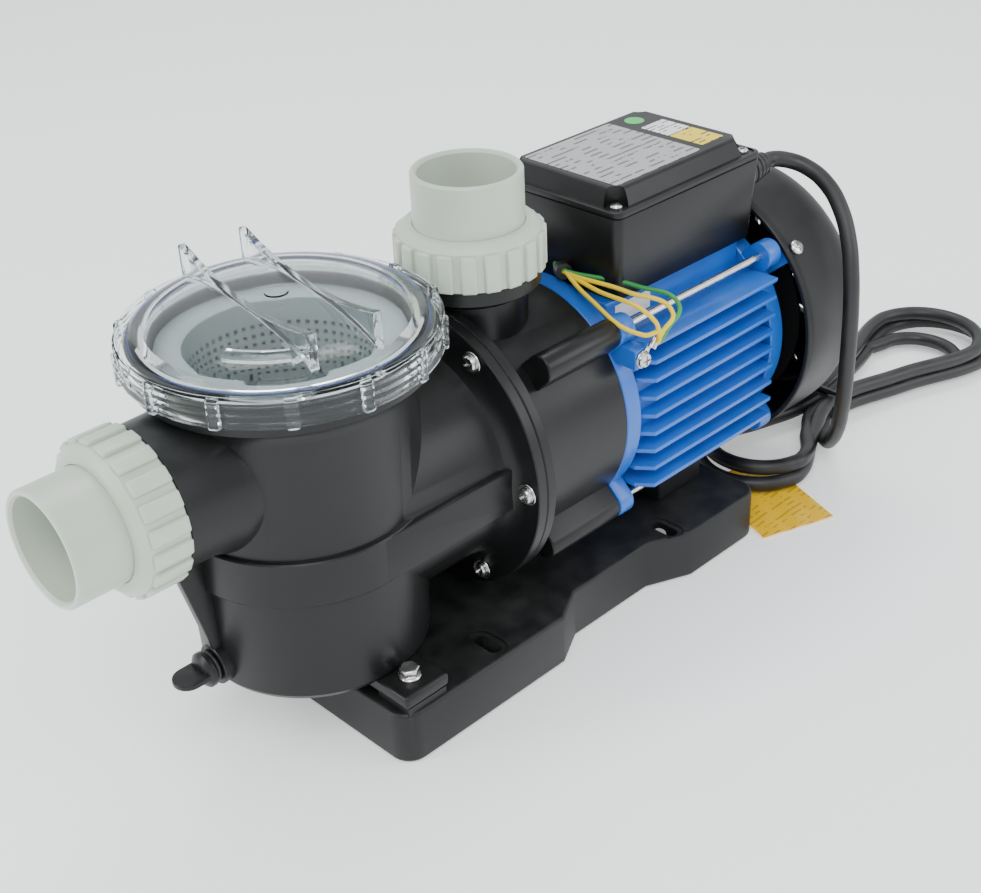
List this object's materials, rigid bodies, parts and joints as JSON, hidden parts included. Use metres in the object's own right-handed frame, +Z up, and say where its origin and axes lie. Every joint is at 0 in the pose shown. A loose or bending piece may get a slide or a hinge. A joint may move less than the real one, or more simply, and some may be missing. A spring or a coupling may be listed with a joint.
{
  "type": "pool pump",
  "caption": "Self-priming pool circulation pump: clear-lidded strainer pot, wet end with ribbed union nuts, finned motor with terminal box, moulded base and coiled mains lead",
  "frame": {"origin": "centre of the base's underside, on the floor", "axes": "+X along the motor shaft from the suction port toward the fan cover, +Z up, +Y away from the side with the mains lead"},
  "size_m": [0.7565, 0.1992, 0.268],
  "materials": {
    "black_plastic": "fine satin moulded black",
    "base_plastic": "fine satin moulded black",
    "cowl_plastic": "satin moulded black",
    "clear_lid": "clear polished",
    "union_grey": "pale grey-green satin",
    "basket_grey": "pale translucent",
    "motor_blue": "semi-gloss blue paint over cast metal",
    "zinc_steel": "bright zinc plated",
    "lamination_iron": "machined",
    "wound_stator": "varnished windings on laminations",
    "cord_rubber": "dull black",
    "seal_rubber": "dull black",
    "seal_ceramic": "lapped",
    "tag_yellow": "printed film, blank",
    "earth_wire_yellow": "smooth wire cover"
  },
  "bodies": {
    "pump": {"base_bolt_1": "zinc_steel", "base_bolt_2": "zinc_steel", "base_plate": "base_plastic", "cable_gland": "cord_rubber", "casing_oring": "seal_rubber", "caution_tag": "tag_yellow", "cord_hank": "cord_rubber", "cord_tail": "cord_rubber", "cover_screw_1": "zinc_steel", "cover_screw_2": "zinc_steel", "cover_screw_3": "zinc_steel", "diffuser": "black_plastic", "discharge_oring": "seal_rubber", "earth_screw": "zinc_steel", "earth_wire": "earth_wire_yellow", "fan_cover": "cowl_plastic", "flange_screw_1": "zinc_steel", "flange_screw_2": "zinc_steel", "flange_screw_3": "zinc_steel", "flange_screw_4": "zinc_steel", "flange_screw_5": "zinc_steel", "flange_screw_6": "zinc_steel", "front_bearing": "zinc_steel", "front_end_shield": "motor_blue", "lid_screw_1": "zinc_steel", "lid_screw_2": "zinc_steel", "lid_screw_3": "zinc_steel", "lid_screw_4": "zinc_steel", "motor_housing": "motor_blue", "motor_saddle": "base_plastic", "power_cord": "cord_rubber", "power_plug": "black_plastic", "pump_casing": "black_plastic", "rear_bearing": "zinc_steel", "rear_end_shield": "motor_blue", "run_capacitor": "basket_grey", "seal_seat": "seal_ceramic", "stator": "wound_stator", "strainer_basket": "basket_grey", "strainer_pot": "black_plastic", "suction_oring": "seal_rubber", "terminal_box": "black_plastic", "terminal_lid": "black_plastic", "tie_rod_1": "zinc_steel", "tie_rod_2": "zinc_steel", "tie_rod_3": "zinc_steel", "tie_rod_4": "zinc_steel"},
    "rotor": {"motor_shaft": "zinc_steel", "rotor_core": "lamination_iron", "impeller": "black_plastic", "seal_rotary": "seal_rubber", "cooling_fan": "cowl_plastic"},
    "lid_seal": {"lid_oring": "seal_rubber"},
    "lid": {"strainer_lid": "clear_lid"},
    "suction_union": {"suction_tail": "union_grey"},
    "suction_ring": {"suction_nut": "union_grey"},
    "discharge_union": {"discharge_tail": "union_grey"},
    "discharge_ring": {"discharge_nut": "union_grey"},
    "drain_seal": {"drain_oring": "seal_rubber"},
    "drain": {"drain_plug": "black_plastic"}
  },
  "joints": [
    {"name": "rotor_spin", "type": "hinge", "parent": "pump", "child": "rotor", "pos_m": [0, 0, 0.117], "axis": [1, 0, 0], "continuous": true},
    {"name": "lid_lift", "type": "slide", "parent": "pump", "child": "lid_seal", "axis": [0, 0, 1], "range_m": [0, 0.012]},
    {"name": "lid_turn", "type": "hinge", "parent": "lid_seal", "child": "lid", "pos_m": [-0.137, 0, 0.2243], "axis": [0, 0, 1], "range_deg": [0, 1081]},
    {"name": "suction_draw", "type": "slide", "parent": "pump", "child": "suction_union", "axis": [-1, 0, 0], "range_m": [0, 0.016]},
    {"name": "suction_nut_turn", "type": "hinge", "parent": "suction_union", "child": "suction_ring", "pos_m": [-0.2451, 0, 0.167], "axis": [-1, 0, 0], "range_deg": [0, 1441]},
    {"name": "discharge_draw", "type": "slide", "parent": "pump", "child": "discharge_union", "axis": [0, 0, 1], "range_m": [0, 0.016]},
    {"name": "discharge_nut_turn", "type": "hinge", "parent": "discharge_union", "child": "discharge_ring", "pos_m": [-0.009, 0, 0.2326], "axis": [0, 0, 1], "range_deg": [0, 1441]},
    {"name": "drain_draw", "type": "slide", "parent": "pump", "child": "drain_seal", "axis": [-1, 0, 0], "range_m": [0, 0.01]},
    {"name": "drain_turn", "type": "hinge", "parent": "drain_seal", "child": "drain", "pos_m": [-0.204, 0, 0.0565], "axis": [-1, 0, 0], "range_deg": [0, 1801]}
  ],
  "couplings": [
    {"joint": "lid_turn", "follows": "lid_lift", "rad_per_m": 1570.8},
    {"joint": "suction_nut_turn", "follows": "suction_draw", "rad_per_m": 1570.8},
    {"joint": "discharge_nut_turn", "follows": "discharge_draw", "rad_per_m": 1570.8},
    {"joint": "drain_turn", "follows": "drain_draw", "rad_per_m": 3141.6}
  ]
}
